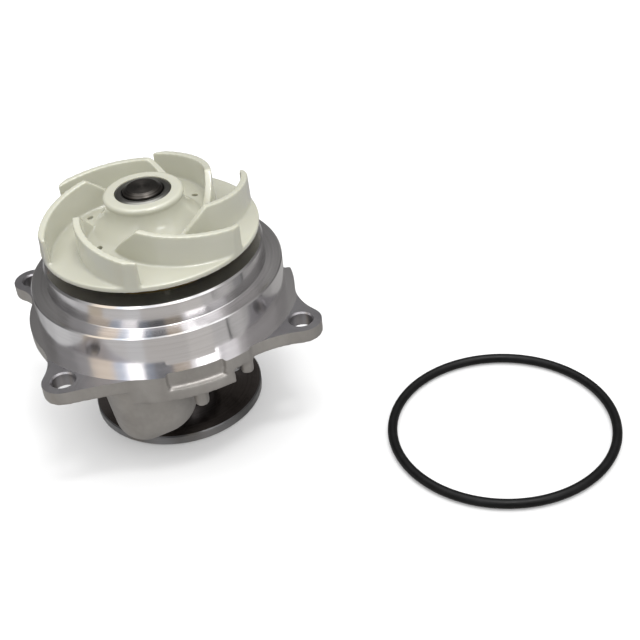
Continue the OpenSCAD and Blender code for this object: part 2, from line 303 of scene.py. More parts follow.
# ---------------------------------------------------------------------------------------------------
# Material tools
# ---------------------------------------------------------------------------------------------------
class NodeTree:
    """Short calls for the nodes of a material or a world."""

    def __init__(self, tree):
        self.tree = tree

    def node(self, kind, inputs=None, **settings):
        made = self.tree.nodes.new("ShaderNode" + kind)
        for key, value in settings.items():
            setattr(made, key, value)
        for key, value in (inputs or {}).items():
            if isinstance(value, bpy.types.NodeSocket):
                self.tree.links.new(value, made.inputs[key])
            else:
                made.inputs[key].default_value = value
        return made

    def math(self, op, a, b=0.0, c=0.0):
        return self.node("Math", {0: a, 1: b, 2: c}, operation=op).outputs[0]

    def remap(self, value, low, high, to_low, to_high):
        return self.node("MapRange", {"Value": value, "From Min": low, "From Max": high,
                                      "To Min": to_low, "To Max": to_high}).outputs[0]

    def mix(self, share, a, b):
        """Colour a where share is 0 and colour b where it is 1."""
        def rgba(c):
            return c if isinstance(c, bpy.types.NodeSocket) else (*c, 1.0)
        return self.node("Mix", {0: share, 6: rgba(a), 7: rgba(b)}, data_type="RGBA").outputs[2]


class Surface(NodeTree):
    """A principled material and short calls for what feeds it."""

    def __init__(self, name, color, roughness, metallic=0.0, **sockets):
        self.mat = bpy.data.materials.new(name)
        self.mat.use_nodes = True
        super().__init__(self.mat.node_tree)
        self.shader = self.tree.nodes["Principled BSDF"]
        self.put(Base_Color=(*color, 1.0), Metallic=metallic, Roughness=roughness, **sockets)
        self.coords = self.node("TexCoord").outputs["Object"]
        self.bumped = None

    def put(self, **sockets):
        for key, value in sockets.items():
            self.shader.inputs[key.replace("_", " ")].default_value = value

    def link(self, value, key):
        self.tree.links.new(value, self.shader.inputs[key])

    def noise(self, size, detail, roughness=0.55, stretch=(1, 1, 1)):
        """Noise whose cells are about size millimetres, shorter along an axis where stretch is larger."""
        scale = tuple(s / (size * MM) for s in stretch)
        moved = self.node("Mapping", {"Vector": self.coords, "Scale": scale})
        return self.node("TexNoise", {"Vector": moved.outputs[0], "Scale": 1.0, "Detail": detail,
                                      "Roughness": roughness}).outputs[0]

    def vary(self, noise, low, high):
        """Spreads a noise's usual range, 0.3 to 0.7, over low to high."""
        return self.remap(noise, 0.3, 0.7, low, high)

    def bump(self, height, depth):
        """Adds a relief of depth millimetres to the surface."""
        inputs = {"Height": height, "Distance": depth * MM}
        if self.bumped is not None:
            inputs["Normal"] = self.bumped
        self.bumped = self.node("Bump", inputs).outputs[0]
        self.link(self.bumped, "Normal")

    def radius(self, centre=(0.0, 0.0)):
        """Distance from an upright axis through centre, in metres."""
        split = self.node("SeparateXYZ", {0: self.coords}).outputs
        x = self.math("SUBTRACT", split[0], centre[0] * MM)
        y = self.math("SUBTRACT", split[1], centre[1] * MM)
        square = self.math("ADD", self.math("MULTIPLY", x, x), self.math("MULTIPLY", y, y))
        return self.math("SQRT", square)

    def rings(self, size, detail, centre=(0.0, 0.0)):
        """Noise that changes only with the distance from an upright axis, by steps of size millimetres."""
        steps = self.math("MULTIPLY", self.radius(centre), 1 / (size * MM))
        inputs = {"W": steps, "Scale": 1.0, "Detail": detail}
        return self.node("TexNoise", inputs, noise_dimensions="1D").outputs[0]

    def grooves(self, size, stretch):
        """Turning marks round the axis, as bands on upright faces and rings on flat ones."""
        round_axis = self.node("Tangent", direction_type="RADIAL", axis="Z").outputs[0]
        self.link(round_axis, "Tangent")
        bands = self.math("MULTIPLY", self.noise(size, 3, 0.7, stretch=(stretch, stretch, 1)), 0.5)
        return self.math("ADD", bands, self.math("MULTIPLY", self.rings(size, 3.0), 0.5))

    def height(self):
        return self.node("SeparateXYZ", {0: self.coords}).outputs[2]


# ---------------------------------------------------------------------------------------------------
# Materials
# ---------------------------------------------------------------------------------------------------
def cast_aluminium():
    """Die-cast skin: matt, finely pebbled, with darker flow marks and small pits."""
    s = Surface("cast_aluminium", (0.38, 0.363, 0.345), 0.52, metallic=0.75)
    flow = s.noise(14, 4, 0.6, stretch=(1, 1, 0.6))
    s.link(s.mix(s.vary(flow, 0, 1), (0.33, 0.314, 0.297), (0.43, 0.412, 0.392)), "Base Color")
    s.link(s.vary(s.noise(3, 3), 0.44, 0.6), "Roughness")
    s.bump(s.noise(0.9, 3), 0.05)
    s.bump(s.noise(5, 2), 0.12)
    return s.mat


def turned_aluminium():
    """Bright turned metal: fine grooves round the axis, reflections drawn out across them."""
    s = Surface("turned_aluminium", (0.74, 0.725, 0.73), 0.15, metallic=1.0, Anisotropic=0.8,
                Anisotropic_Rotation=0.25)
    tone = s.grooves(0.9, 0.01)
    s.link(s.mix(s.remap(tone, 0.35, 0.65, 0, 1), (0.68, 0.665, 0.67), (0.77, 0.755, 0.765)), "Base Color")
    s.link(s.vary(s.noise(7, 3), 0.13, 0.18), "Roughness")
    s.bump(tone, 0.002)
    return s.mat


def milled_aluminium():
    """Satin milled face with faint arcs left by the cutter."""
    s = Surface("milled_aluminium", (0.30, 0.295, 0.31), 0.38, metallic=1.0)
    cutter_centre = (38, -70)
    arcs = s.rings(0.7, 2.0, cutter_centre)
    cloud = s.noise(16, 3)
    s.link(s.mix(s.vary(cloud, 0, 1), (0.262, 0.254, 0.267), (0.345, 0.336, 0.349)), "Base Color")
    s.link(s.vary(arcs, 0.33, 0.45), "Roughness")
    s.bump(arcs, 0.006)
    return s.mat


def moulded_plastic():
    """Cream moulded plastic: soft gloss, faint flow clouds, and the vanes' tops painted lighter as a painted
    highlight of the light from above.
    """
    s = Surface("moulded_plastic", (0.50, 0.50, 0.415), 0.22)
    s.put(Subsurface_Weight=0.25, Subsurface_Scale=2.0 * MM, Subsurface_Radius=(1.0, 0.9, 0.6))
    s.put(IOR=1.5, Coat_Weight=0.8, Coat_Roughness=0.10)
    cloud = s.vary(s.noise(18, 2), 0, 1)
    body = s.mix(cloud, (0.495, 0.49, 0.41), (0.512, 0.51, 0.426))
    # Painted light: within 3.5 mm of a vane's top, the colour is blended towards a lighter cream. It stands
    # in for the light that falls on the tops from above.
    fall = (VANE_TOP_OUT - VANE_TOP_IN) / (IMPELLER_R - VANE_LEAD_R)
    top = s.math("MULTIPLY_ADD", s.radius(), fall, (VANE_TOP_IN - VANE_LEAD_R * fall) * MM)
    depth = s.math("SUBTRACT", top, s.height())
    edge = s.remap(depth, 3.5 * MM, 0.8 * MM, 0, 0.4)
    s.link(s.mix(edge, body, (0.53, 0.528, 0.44)), "Base Color")
    s.link(s.vary(s.noise(9, 2), 0.20, 0.25), "Roughness")
    s.bump(s.noise(1.1, 3), 0.003)
    s.bump(s.noise(9, 2), 0.008)
    return s.mat


def black_rubber(name, tone, rough, level):
    """Moulded rubber with a little dust; level is how much it mirrors."""
    s = Surface(name, (tone, tone, tone * 1.06), rough, Specular_IOR_Level=level)
    dust = s.remap(s.noise(5, 5, 0.7), 0.45, 0.75, 0, 1)
    s.link(s.mix(dust, (tone, tone, tone * 1.06), (tone * 2.2, tone * 2.2, tone * 2.3)), "Base Color")
    s.link(s.vary(s.noise(2, 4), rough - 0.06, rough + 0.1), "Roughness")
    s.bump(s.noise(0.6, 3), 0.01)
    return s.mat


def steel(name, dark, light, rough, grain=0.5, aniso=0.6):
    """Turned or ground steel between two tones, with rings round its axis."""
    s = Surface(name, light, rough, metallic=1.0, Anisotropic=aniso, Anisotropic_Rotation=0.25)
    tone = s.grooves(grain, 0.02)
    s.link(s.mix(s.remap(tone, 0.35, 0.65, 0, 1), dark, light), "Base Color")
    s.link(s.vary(s.noise(3, 3), rough - 0.06, rough + 0.06), "Roughness")
    s.bump(tone, 0.006)
    return s.mat


def plain_plastic(name, low, high, rough):
    """A plain hard material that drifts between two colours."""
    s = Surface(name, low, rough)
    s.link(s.mix(s.vary(s.noise(4, 4), 0, 1), low, high), "Base Color")
    s.link(s.vary(s.noise(1.5, 3), rough - 0.06, rough + 0.06), "Roughness")
    s.bump(s.noise(0.7, 3), 0.01)
    return s.mat


MATS = {
    "cast": cast_aluminium(),
    "turned": turned_aluminium(),
    "milled": milled_aluminium(),
    "plastic": moulded_plastic(),
    "rubber": black_rubber("black_rubber", 0.004, 0.36, 0.18),
    "seal_rubber": black_rubber("seal_rubber", 0.016, 0.5, 0.4),
    "insert": steel("insert_steel", (0.16, 0.157, 0.145), (0.24, 0.237, 0.22), 0.38),
    "shaft": steel("shaft_steel", (0.04, 0.036, 0.032), (0.08, 0.074, 0.068), 0.35),
    "hub_rim": steel("hub_rim_steel", (0.17, 0.17, 0.175), (0.25, 0.245, 0.245), 0.36, 0.5, 0.95),
    "hub_face": steel("hub_face_steel", (0.12, 0.105, 0.10), (0.16, 0.145, 0.14), 0.17, 0.9, 0.3),
    "ring_steel": steel("bearing_steel", (0.34, 0.34, 0.35), (0.5, 0.5, 0.51), 0.35),
    "plug_steel": steel("plug_steel", (0.45, 0.45, 0.46), (0.6, 0.6, 0.61), 0.35),
    "ball_steel": steel("ball_steel", (0.6, 0.6, 0.61), (0.72, 0.72, 0.73), 0.12, 0.3, 0.0),
    "brass": steel("seal_brass", (0.52, 0.37, 0.15), (0.68, 0.50, 0.22), 0.35),
    "cage": plain_plastic("cage_nylon", (0.45, 0.34, 0.19), (0.55, 0.43, 0.26), 0.5),
    "carbon": plain_plastic("carbon_graphite", (0.025, 0.025, 0.028), (0.05, 0.05, 0.054), 0.36),
    "ceramic": plain_plastic("seat_ceramic", (0.72, 0.69, 0.62), (0.8, 0.78, 0.72), 0.20),
}


def finish_piece(obj, body, mats, node):
    """Gives a piece its materials and the body it rides on, and hides the CAD node that it stands for."""
    obj.data.materials.clear()
    for m in mats:
        obj.data.materials.append(MATS[m])
    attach(obj, body)
    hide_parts(node)
    return obj


# ---------------------------------------------------------------------------------------------------
# Housing
# ---------------------------------------------------------------------------------------------------
def arc(centre, r, a0, a1, n):
    """Points on an arc from a0 to a1 degrees, in n steps."""
    steps = (polar(r, a0 + (a1 - a0) * i / n) for i in range(n + 1))
    return [(centre[0] + x, centre[1] + y) for x, y in steps]


def heading(p, q):
    """The direction from p to q, in degrees."""
    return math.degrees(math.atan2(q[1] - p[1], q[0] - p[0]))


def lug_outline(reach, angle, cw_r, ccw_r, disc_r):
    """One lug with its blends into the flange's disc, as an outline from the axis."""
    def spread(blend_r):
        arm = disc_r + blend_r
        part = (arm ** 2 + reach * reach - (LUG_R + blend_r) ** 2) / (2 * arm * reach)
        return math.degrees(math.acos(part))

    def shortest(turn):
        return turn - 360 * round(turn / 360)
    centre = polar(reach, angle)
    cw, ccw = angle - spread(cw_r), angle + spread(ccw_r)
    blend_cw, blend_ccw = polar(disc_r + cw_r, cw), polar(disc_r + ccw_r, ccw)
    out_cw = heading(centre, blend_cw)
    out_ccw = out_cw + (heading(centre, blend_ccw) - out_cw) % 360
    start, end = cw + 180, ccw + 180
    return ([(0, 0)] + arc(blend_cw, cw_r, start, start + shortest(heading(blend_cw, centre) - start), 16)
            + arc(centre, LUG_R, out_cw, out_ccw, 40)
            + arc(blend_ccw, ccw_r, end + shortest(heading(blend_ccw, centre) - end), end, 16))


def step_cutter():
    """The step in the flange's rim at the front, with rounded lower corners, as a bent block."""
    n, corner, width, above = 48, 3.0, 8, 5
    rows = []
    for i in range(n + 1):
        a = STEP_FROM + (STEP_TO - STEP_FROM) * i / n
        inset = corner - min(abs(a - STEP_FROM), abs(a - STEP_TO)) * math.radians(STEP_R)
        lift = corner - math.sqrt(corner * corner - inset * inset) if inset > 0 else 0
        (x0, y0), (x1, y1) = polar(STEP_R, a), polar(STEP_R + width, a)
        low, high = STEP_Z + lift, FACE_Z + above
        rows += [(x0, y0, low), (x1, y1, low), (x1, y1, high), (x0, y0, high)]
    faces = [[0, 1, 2, 3], [4 * n + 3, 4 * n + 2, 4 * n + 1, 4 * n]]
    faces += [[4 * i + j, 4 * i + 4 + j, 4 * i + 4 + (j + 1) % 4, 4 * i + (j + 1) % 4]
              for i in range(n) for j in range(4)]
    obj = mesh_object("step", rows, faces)
    fix_normals(obj)
    return obj


def bulge():
    """The rounded bulge under the flange: the hull of its top ring and its two ball ends."""
    layers, sides, last = 24, 88, 352
    ring = arc(BULGE_TOP, BULGE_TOP_R + 0.05, 0, last, sides)
    points = [(*p, z) for z in (FLANGE_Z - 3, FACE_Z - 0.5) for p in ring]
    for x, y, z, radius in BULGE_ENDS:
        for k in range(1, layers):
            lift, r = polar(radius, 180.0 * k / layers)
            points += [(*p, z + lift) for p in arc((x, y), r, 0, last, sides)]
    return convex("bulge", points)


def raw_casting():
    """The casting before machining: the CAD solid with stock on the faces that get machined."""
    stock, overlap = 1.2, 0.3                # left on for machining, and sunk into the CAD solid
    cad = frame["nodes"]["pump_housing"]
    parts = [new_object("raw", cad.data.copy())]
    wide = [(0, 0)] + arc((0, 0), FLANGE_R, WIDE_FROM, WIDE_FROM + WIDE_SWEEP, 160)
    front = [(0, 0)] + arc((0, 0), FRONT_R, FRONT_FROM, FRONT_FROM + FRONT_SWEEP, 60)
    for i, outline in enumerate([wide, front] + [lug_outline(*lug) for lug in LUGS]):
        parts.append(prism(f"stock_{i}", outline, FLANGE_Z + overlap, FACE_Z + stock))
    parts.append(lathe("blank", [(0, FLANGE_Z + 1), (NARROW_R, FLANGE_Z + 1), (NARROW_R, FACE_Z + stock),
                                 (REGISTER_R + stock, FACE_Z + stock), (REGISTER_R + stock, LEDGE_Z + stock),
                                 (SPIGOT_R + stock, LEDGE_Z + stock), (SPIGOT_R + stock, LAND_Z + stock),
                                 (0, LAND_Z + stock)], 160))
    core_r, core_from, core_to = BEARING_BORE_R + 1, 17.5, 50
    parts.append(lathe("core", [(0, core_from), (core_r, core_from), (core_r, core_to), (0, core_to)], 96))
    parts.append(bulge())
    obj = fuse(join("housing_casting", parts), CASTING_GRAIN, 0)
    return cut(obj, step_cutter())


def machine(obj):
    """Turns the outside, bores the inside, mills the flange and drills the bolt holes."""
    far, high = 95.0, 95.0                   # past the casting and above it
    face = FACE_Z - TURNED_DEPTH
    ledge_bevel, land_bevel, bolt_bevel, corner_r = 0.45, 0.7, 0.6, 0.3
    outside = rounded([(REGISTER_R, face), (REGISTER_R, LEDGE_Z - ledge_bevel),
                       (REGISTER_R - ledge_bevel, LEDGE_Z), (SPIGOT_R, LEDGE_Z, corner_r),
                       (SPIGOT_R, LAND_Z - land_bevel), (SPIGOT_R - land_bevel, LAND_Z), (0, LAND_Z),
                       (0, high), (far, high), (far, FACE_Z), (TURNED_R, FACE_Z), (TURNED_R, face)])
    cut(obj, lathe("turn", outside, 288))
    inside = [(0, BORE_FROM), (BEARING_BORE_R, BORE_FROM), (BEARING_BORE_R, RING_TOP), (CAVITY_R, RING_TOP),
              (CAVITY_R, CASE_Z), (SEAL_BORE_R, CASE_Z), (SEAL_BORE_R, BOWL_Z), (BOWL_R, BOWL_Z),
              (BOWL_R + 3, BOWL_Z + 2.5), (LAND_IN_R, LAND_Z - 0.5), (LAND_IN_R + 0.5, LAND_Z),
              (LAND_IN_R + 0.5, high), (0, high)]
    cut(obj, lathe("bore", inside, 192))
    for i, lug in enumerate(LUGS):
        hole = [(0, FLANGE_Z - 8), (BOLT_R, FLANGE_Z - 8), (BOLT_R, FACE_Z - bolt_bevel),
                (BOLT_R + 2 * bolt_bevel, FACE_Z + bolt_bevel), (0, FACE_Z + bolt_bevel)]
        cut(obj, lathe(f"drill_{i}", hole, 72, at=polar(*lug[:2])))
    return obj


def paint_housing(obj):
    """Sets material 0 on cast skin, 1 on turned and bored faces, 2 on milled faces."""
    mesh = obj.data
    n = len(mesh.polygons)
    centre, normal = np.empty(n * 3, np.float32), np.empty(n * 3, np.float32)
    mesh.polygons.foreach_get("center", centre)
    mesh.polygons.foreach_get("normal", normal)
    co = np.empty(len(mesh.vertices) * 3, np.float32)
    mesh.vertices.foreach_get("co", co)
    co = co.reshape(-1, 3) / MM
    normal = normal.reshape(-1, 3)
    centre = centre.reshape(-1, 3) / MM
    r = np.hypot(centre[:, 0], centre[:, 1])
    z = centre[:, 2]
    first = np.array([mesh.loops[p.loop_start].vertex_index for p in mesh.polygons])
    edge_r = np.hypot(co[first, 0], co[first, 1])
    outward = np.abs(normal[:, 0] * centre[:, 0] + normal[:, 1] * centre[:, 1]) / np.maximum(r, 1e-6)
    near = 0.02                              # how close a face lies to the surface that it was cut on
    turned = (z > FACE_Z - TURNED_DEPTH - near) & (r < TURNED_R + near)
    in_bore = (edge_r < BEARING_BORE_R + near) & (r < BEARING_BORE_R + 0.01) & (z > BORE_FROM)
    turned |= in_bore & (outward > 0.98)
    turned |= (r < SEAL_BORE_R + near) & (z > RING_TOP - 0.1)
    milled = (np.abs(z - FACE_Z) < near) & (r >= TURNED_R)
    for lug in LUGS:
        x, y = polar(*lug[:2])
        from_hole = np.hypot(centre[:, 0] - x, centre[:, 1] - y)
        milled |= (from_hole < BOLT_R + 1.0) & (z < FACE_Z + 0.01) & (z > FLANGE_Z - 0.4)
    cast_skin, turned_face, milled_face = 0, 1, 2
    kind = np.where(milled, milled_face, np.where(turned, turned_face, cast_skin)).astype(np.int32)
    mesh.polygons.foreach_set("material_index", kind)
    return kind


def crisp_borders(obj, kind):
    """Keeps the shading of machined faces flat up to the edge of the cast skin beside them."""
    mesh = obj.data
    sides = {}
    for face in mesh.polygons:
        for key in face.edge_keys:
            sides.setdefault(key, set()).add(kind[face.index])
    mixed = {key for key, found in sides.items() if len(found) > 1}
    for edge in mesh.edges:
        if edge.key in mixed:
            edge.use_edge_sharp = True


def housing():
    """The casting, machined and with a material for each kind of face."""
    obj = fuse(raw_casting(), CASTING_GRAIN, 6)
    machine(obj)
    finish_piece(obj, "housing", ("cast", "turned", "milled"), "pump_housing")
    kind = paint_housing(obj)
    centre_texture(obj, (0, 0, 50), 60)
    shade(obj, 30)
    crisp_borders(obj, kind)
    return obj


# ---------------------------------------------------------------------------------------------------
# Impeller
# ---------------------------------------------------------------------------------------------------
def vane_radius(a):
    """Radius of a vane's middle line, a degrees after its foot."""
    return VANE_FOOT_R + SPIRAL * a + SPIRAL_GROWTH * a * a


def disc_top(r):
    """Height of the back plate's upper face at radius r."""
    share = (IMPELLER_R - r) / (IMPELLER_R - DOME_FOOT_R)
    return RIM_Z + RIM_T + share * (DOME_FOOT_Z - RIM_Z - RIM_T)


def vane_point(side, a, v):
    """A point on one side of a vane, a degrees after its foot and at share v of its height."""
    t = VANE_FOOT_T + (VANE_TOP_T - VANE_FOOT_T) * v
    r = min(vane_radius(a), IMPELLER_R)
    x, y = polar(r, a)
    before, after = polar(vane_radius(a - 1), a - 1), polar(vane_radius(a + 1), a + 1)
    dx, dy = (q - p for p, q in zip(before, after))
    length = math.hypot(dx, dy)
    px, py = x - side * dy / length * t / 2, y + side * dx / length * t / 2
    reach = math.hypot(px, py)
    if reach > IMPELLER_R:
        px, py = px * IMPELLER_R / reach, py * IMPELLER_R / reach
    share = (r - VANE_LEAD_R) / (IMPELLER_R - VANE_LEAD_R)
    top = VANE_TOP_IN + (VANE_TOP_OUT - VANE_TOP_IN) * share
    bottom = disc_top(r) - VANE_SINK
    return px, py, bottom + (top - bottom) * v


def vane(index):
    """One curved vane with a slanted leading edge and a slight draft."""
    along, up, overrun = 80, 14, 0.5
    verts = []
    for j in range(up + 1):
        lead = VANE_LEAD * j / up
        angles = [lead + (VANE_SWEEP + overrun - lead) * i / along for i in range(along + 1)]
        verts += [vane_point(1, a, j / up) for a in angles]
        verts += [vane_point(-1, a, j / up) for a in angles[::-1]]
    n = 2 * (along + 1)
    faces = [[j * n + i, j * n + (i + 1) % n, (j + 1) * n + (i + 1) % n, (j + 1) * n + i]
             for j in range(up) for i in range(n)]
    for base, flip in ((0, True), (up * n, False)):
        for i in range(along):
            quad = [base + i, base + i + 1, base + n - 2 - i, base + n - 1 - i]
            faces.append(quad[::-1] if flip else quad)
    obj = mesh_object(f"vane_{index}", verts, faces)
    obj.data.transform(Matrix.Rotation(math.radians(VANE_START + VANE_STEP * index), 4, "Z"))
    fix_normals(obj)
    return obj


def impeller():
    """The moulding: back plate, flared hub and vanes as one skin, then the insert's seat and the vents."""
    steps, curve, lip_h = 24, 2.4, 2.4
    flare = []
    for t in (i / steps for i in range(steps + 1)):
        r = DOME_FOOT_R - (DOME_FOOT_R - DOME_R) * (1 - (1 - t) ** curve)
        flare.append((r, DOME_FOOT_Z + (DOME_TOP - lip_h - DOME_FOOT_Z) * t))
    foot = [(0, IMPELLER_FOOT_Z), (IMPELLER_FOOT_R, IMPELLER_FOOT_Z), (IMPELLER_FOOT_R + 1, 85)]
    rim = [(IMPELLER_R - 3, RIM_Z), (IMPELLER_R, RIM_Z), (IMPELLER_R, RIM_Z + RIM_T)]
    lip = [(DOME_R + 0.4, DOME_TOP - 1.9), (DOME_R + 0.4, DOME_TOP - 0.7), (DOME_R - 0.4, DOME_TOP + 0.1),
           (0, DOME_TOP + 0.1)]
    profile = foot + rim + flare + lip
    parts = [lathe("disc", profile, 256)] + [vane(i) for i in range(VANES)]
    obj = fuse(join("impeller_moulding", parts), MOULDING_GRAIN, 5)
    below, above = 70, 110
    seat = [(0, below), (INSERT_R - 1, below), (INSERT_R - 1, SHOULDER_Z), (INSERT_R, SHOULDER_Z + 1),
            (INSERT_R, above), (0, above)]
    cut(obj, lathe("seat", seat, 128))
    vent = [(0, 80), (VENT_R, 80), (VENT_R, 95), (0, 95)]
    for i in range(VANES):
        cut(obj, lathe(f"vent_{i}", vent, 24, at=polar(VENT_CIRCLE_R, VENT_FROM + VANE_STEP * i)))
    finish_piece(obj, "rotor", ("plastic",), "impeller")
    return shade(obj, 40)


# ---------------------------------------------------------------------------------------------------
# Turned pieces
# ---------------------------------------------------------------------------------------------------
def insert():
    """The steel bush in the impeller's hub."""
    bottom = IMPELLER_FOOT_Z - 0.4
    profile = rounded([(SHAFT_R + FIT, bottom), (INSERT_R - 1, bottom, 0.3), (INSERT_R - 1, SHOULDER_Z),
                       (INSERT_R, SHOULDER_Z + 1), (INSERT_R, INSERT_TOP - 0.6, 0.2),
                       (INSERT_BEVEL_R, INSERT_TOP, 0.2), (COUNTERBORE_R, INSERT_TOP, 0.35),
                       (COUNTERBORE_R, COUNTERBORE_Z), (SHAFT_R + FIT, COUNTERBORE_Z)])
    obj = lathe("insert_bush", profile, 160)
    finish_piece(obj, "rotor", ("insert",), "impeller_insert")
    centre_texture(obj, (0, 0, 90))
    return shade(obj)


def shaft():
    """The shaft, with the groove that the balls run in."""
    end_r, half_w, side_w, bottom = SHAFT_R - 0.02, 2.9, 1.2, 0.3
    groove = [(end_r, BALL_Z - half_w), (GROOVE_SIDE_R, BALL_Z - side_w), (GROOVE_R, BALL_Z),
              (GROOVE_SIDE_R, BALL_Z + side_w), (end_r, BALL_Z + half_w)]
    profile = rounded([(0, bottom), (SHAFT_R - 1, bottom, 0.3), (SHAFT_R, bottom + 1, 0.3)] + groove
                      + [(SHAFT_R, SHAFT_TOP - 1.2, 0.5), (SHAFT_R - 1.9, SHAFT_TOP, 0.35), (0, SHAFT_TOP)])
    obj = finish_piece(lathe("shaft_bar", profile, 128), "rotor", ("shaft",), "pump_shaft")
    centre_texture(obj, (0, 0, 50))
    return shade(obj)


def drive_hub():
    """The round hub at the bottom, with three tapped holes for the drive sprocket."""
    low_bevel, top_bevel = 0.9, 0.5
    profile = rounded([(SHAFT_R + FIT, 0.0), (HUB_R - low_bevel, 0.0, 0.3), (HUB_R, low_bevel, 0.2),
                       (HUB_R, HUB_T - top_bevel), (HUB_R - top_bevel, HUB_T), (HUB_BOSS_R, HUB_T, 0.4),
                       (HUB_BOSS_R, HUB_BOSS_Z, 0.4), (SHAFT_R + FIT, HUB_BOSS_Z)])
    obj = lathe("drive_hub", profile, 256)
    below, above = -3, 9
    hole = [(0, below), (TAP_WIDE_R, below), (TAP_WIDE_R, 0), (TAP_R, TAP_BEVEL), (TAP_R, HUB_T - TAP_BEVEL),
            (TAP_WIDE_R, HUB_T), (TAP_WIDE_R, above), (0, above)]
    for i in range(3):
        cut(obj, lathe(f"tap_{i}", hole, 48, at=polar(TAP_CIRCLE_R, TAP_FROM + 120 * i)))
    finish_piece(obj, "rotor", ("hub_rim", "hub_face"), "hub_flange")
    for p in obj.data.polygons:
        r = math.hypot(p.center.x, p.center.y) / MM
        p.material_index = 1 if p.normal.z > 0.9 and r < HUB_R - 0.7 else 0
    centre_texture(obj, (0, 0, 3))
    return shade(obj)


def bearing_ring():
    """The bearing's outer ring; its lower end is seen under the casting."""
    inner_r = 12.2
    profile = rounded([(inner_r, RACE_Z + 0.2), (inner_r + 0.3, RACE_Z), (RACE_R - 1, RACE_Z, 0.3),
                       (RACE_R, RACE_Z + 1, 0.4), (RACE_R, RING_TOP - 0.5, 0.2), (RACE_R - 0.5, RING_TOP),
                       (inner_r, RING_TOP)])
    obj = lathe("bearing_race", profile, 128)
    finish_piece(obj, "housing", ("ring_steel",), "bearing_outer_ring")
    centre_texture(obj, (0, 0, 27))
    return shade(obj)


def sealing_ring():
    """The loose rubber ring, with the faint moulding seam that runs round its outside and inside."""
    low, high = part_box("body_o_ring")
    centre = (low + high) / 2 / MM
    cord_r = (high.z - low.z) / 2 / MM
    line_r = (high.x - low.x) / 2 / MM - cord_r
    profile = []
    sides, seam_h, seam_w = 48, 0.05, 0.8    # the seam's width is in sides of the cord
    half = sides // 2
    for k in range(sides):
        from_seam = (k + half // 2) % half - half // 2
        seam = seam_h * math.exp(-(from_seam / seam_w) ** 2)
        x, y = polar(cord_r + seam - seam_h, 360.0 * k / sides)
        profile.append((line_r + x, centre.z + y))
    obj = lathe("sealing_ring_cord", profile, 320, at=(centre.x, centre.y))
    finish_piece(obj, "sealing_ring", ("rubber",), "body_o_ring")
    return shade(obj, 60)


def seal_bellows():
    """The face seal's rubber bellows, with its foot in the case."""
    in_r, out_r, lip_r, web_r, case_r = 10.6, 11.6, 13.9, 15.6, 17.1
    foot_z, web_z, rim_z, fold_z, lip_z, top_z = 55.9, 57, 60, 63, 67, 68
    bend, corner = 0.3, 0.2                  # fillets of the rubber's bends and of its lip
    foot = [(out_r, web_z, bend), (web_r, web_z), (web_r, rim_z, bend), (case_r, rim_z, bend),
            (case_r, foot_z, bend), (in_r, foot_z, bend)]
    inside = [(in_r, fold_z - 1.4, bend), (in_r + 0.6, fold_z, bend), (in_r, fold_z + 1.4, bend),
              (in_r, top_z, corner)]
    outside = [(lip_r, top_z, corner), (lip_r, lip_z, corner), (out_r, lip_z, bend),
               (out_r, fold_z + 1, bend), (out_r + 0.7, fold_z, bend), (out_r, fold_z - 1, bend)]
    obj = lathe("bellows", rounded(foot + inside + outside), 96)
    obj.data.materials.append(MATS["seal_rubber"])
    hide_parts("seal_bellows")
    shade(obj, 40)
    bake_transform(obj)


# ---------------------------------------------------------------------------------------------------
# Pieces that keep their CAD shape
# ---------------------------------------------------------------------------------------------------
KEPT = {"weep_plug": "plug_steel", "upper_bearing_seal": "seal_rubber", "lower_bearing_seal": "seal_rubber",
        "upper_balls": "ball_steel", "upper_ball_cage": "cage", "lower_rollers": "ball_steel",
        "lower_roller_cage": "cage", "slinger": "plug_steel", "seal_case": "brass",
        "seal_spring": "plug_steel", "seal_retainer": "plug_steel", "seal_carbon_ring": "carbon",
        "seat_ring": "ceramic", "seat_cup": "seal_rubber"}


def dress_kept_nodes():
    """Gives the CAD's own solids their materials."""
    for node, mat in KEPT.items():
        obj = frame["nodes"][node]
        obj.data.materials.clear()
        obj.data.materials.append(MATS[mat])


# ---------------------------------------------------------------------------------------------------
# Stage
# ---------------------------------------------------------------------------------------------------
# What stands round the object, seen only in its reflections: azimuth at which each panel starts, in
# degrees, its brightness and its warmth, above the horizon and below it
UPPER = [(-180, 0.46, 0.0), (-163, 1.00, 0.8), (-139, 1.00, -0.7), (-130, 1.50, -0.4), (-126, 2.50, 0.0),
         (-111, 0.40, -0.8), (-101, 0.22, -0.2), (-84, 0.50, 1.0), (-67, 1.35, 0.0), (-50, 0.75, 0.0),
         (-36, 1.20, 0.0), (-18, 0.60, 0.1), (-9, 0.38, 0.1), (40, 0.29, 0.1), (98, 0.21, 0.1),
         (150, 0.33, 0.0)]
LOWER = [(-180, 0.56, 0.0), (-164, 0.45, 0.9), (-147, 0.59, 0.1), (-123, 0.63, 0.0), (-107, 0.52, 0.2),
         (-67, 0.59, 0.2), (-43, 0.52, 0.1), (-10, 0.42, 0.1), (-3, 0.27, 0.0), (14, 0.35, 0.1),
         (36, 0.44, 0.1), (85, 0.30, 0.1), (101, 0.22, 0.1), (125, 0.43, 0.0), (141, 0.54, 0.0),
         (157, 0.63, 0.0)]
PANEL_EDGE = 1.0                         # degrees from a panel's end over which it fades into the next
# Heights in the surroundings are sines of the elevation
HORIZON = 0.06                           # the lower panels fade into the upper ones from -HORIZON to it
DIM_FROM, DIM_TO, DIM_LOW, DIM_HIGH = 0.47, 0.60, 0.50, 1.15     # the upper panels get brighter upwards
CEILING_FROM, CEILING_TO, CEILING = 0.80, 0.88, 2.6      # where the ceiling starts, and its brightness
SIDE_LIGHT, TOP_LIGHT = 0.50, 1.78       # light from the horizon and from straight above
LAMP_TARGET = (0, 0, 0.09)               # a point on the impeller, in metres


